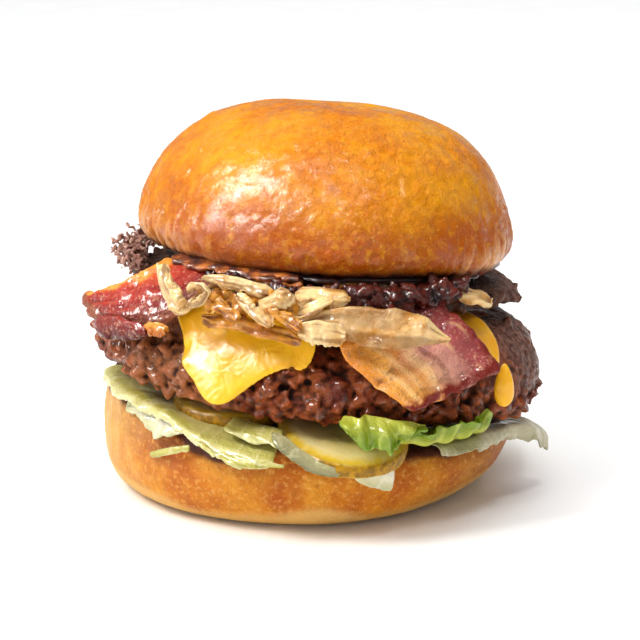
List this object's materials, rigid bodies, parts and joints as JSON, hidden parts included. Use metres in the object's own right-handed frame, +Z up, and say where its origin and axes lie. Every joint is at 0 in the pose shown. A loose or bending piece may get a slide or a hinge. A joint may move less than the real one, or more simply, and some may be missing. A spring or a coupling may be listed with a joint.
{
  "type": "cheeseburger",
  "caption": "Cheeseburger in a glossy round bun with beef patties, melted cheese, bacon, fried onions, pickles and lettuce.",
  "frame": {"origin": "middle of the burger's box, at the surface it stands on", "axes": "+Z up, -Y towards the front of the picture, +X to the picture's right"},
  "size_m": [0.1224, 0.1262, 0.1021],
  "materials": {
    "bun_base": "matt baked crust, toasted at the cut",
    "bun_top": "glossy egg-washed crust",
    "beef_lower": "coarse seared ground beef, greasy",
    "beef_upper": "griddled ground beef, greyish brown",
    "cheese": "melted processed cheese, glossy",
    "bacon": "fried streaky bacon, greasy",
    "onion": "fried onion, wet and see-through at the edge",
    "lettuce_green": "fresh leaf, waxy",
    "lettuce_pale": "pale inner leaf, waxy",
    "pickle": "sliced gherkin, wet"
  },
  "bodies": {
    "root": {"bun_heel": "bun_base", "bun_crown": "bun_top", "patty_lower": "beef_lower", "patty_upper": "beef_upper", "cheese_lower": "cheese", "cheese_upper": "cheese", "pickle_front": "pickle", "pickle_left": "pickle", "pickle_back": "pickle", "lettuce_left": "lettuce_pale", "lettuce_ragged": "lettuce_pale", "lettuce_front": "lettuce_green", "lettuce_frill": "lettuce_green", "lettuce_right": "lettuce_pale", "lettuce_back_right": "lettuce_green", "lettuce_back_left": "lettuce_pale", "lettuce_shred": "lettuce_green", "lettuce_tip": "lettuce_pale", "bacon_left": "bacon", "bacon_right": "bacon", "bacon_crisp": "bacon", "bacon_back": "bacon", "onion_large": "onion", "onion_hook": "onion", "onion_upper": "onion", "onion_glossy": "onion", "onion_middle": "onion", "onion_right": "onion", "onion_back": "onion", "onion_back_left": "onion"}
  },
  "joints": []
}
